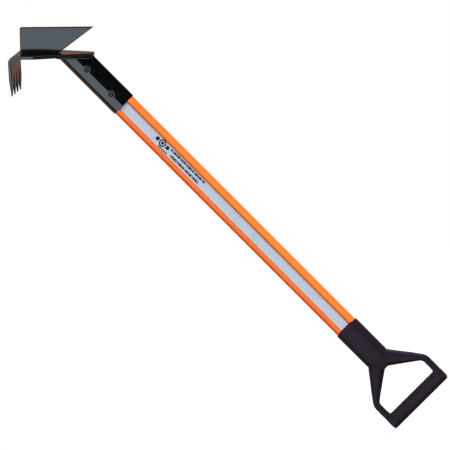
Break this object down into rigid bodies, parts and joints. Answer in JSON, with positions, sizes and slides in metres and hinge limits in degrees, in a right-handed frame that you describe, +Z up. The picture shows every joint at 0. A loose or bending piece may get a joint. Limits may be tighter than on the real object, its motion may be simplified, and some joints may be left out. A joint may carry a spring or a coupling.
{
  "type": "fire overhaul hook",
  "caption": "D-handled overhaul hook: steel rake-and-hook head on a dog-bone fibreglass pole with a moulded D grip.",
  "frame": {"origin": "centre of the grip's flat end face, the end of the tool away from the head", "axes": "+Z up the pole to the head, +X across the head on the side of the hook's point, +Y through the tool's thin direction"},
  "size_m": [0.1982, 0.114, 1.0165],
  "materials": {
    "head_steel": "gloss black powder coat",
    "weld": "powder-coated weld bead",
    "fastener": "black-coated steel",
    "nylon": "nylon",
    "pole": "orange pultruded fibreglass",
    "foam": "rigid foam",
    "tape": "silver retroreflective film",
    "epoxy": "filled epoxy",
    "handle": "charcoal moulded plastic"
  },
  "bodies": {
    "root": {"claw_plate": "head_steel", "fin_blade": "head_steel", "head_socket": "head_steel", "fin_weld_front": "weld", "fin_weld_back": "weld", "socket_weld": "weld", "upper_screw": "fastener", "lower_screw": "fastener", "upper_washer": "fastener", "lower_washer": "fastener", "upper_lock_nut": "fastener", "lower_lock_nut": "fastener", "upper_nut_insert": "nylon", "lower_nut_insert": "nylon", "pole_shell": "pole", "pole_core": "foam", "reflective_tape_front": "tape", "reflective_tape_back": "tape", "head_epoxy": "epoxy", "handle_epoxy": "epoxy", "d_handle": "handle"}
  },
  "joints": []
}
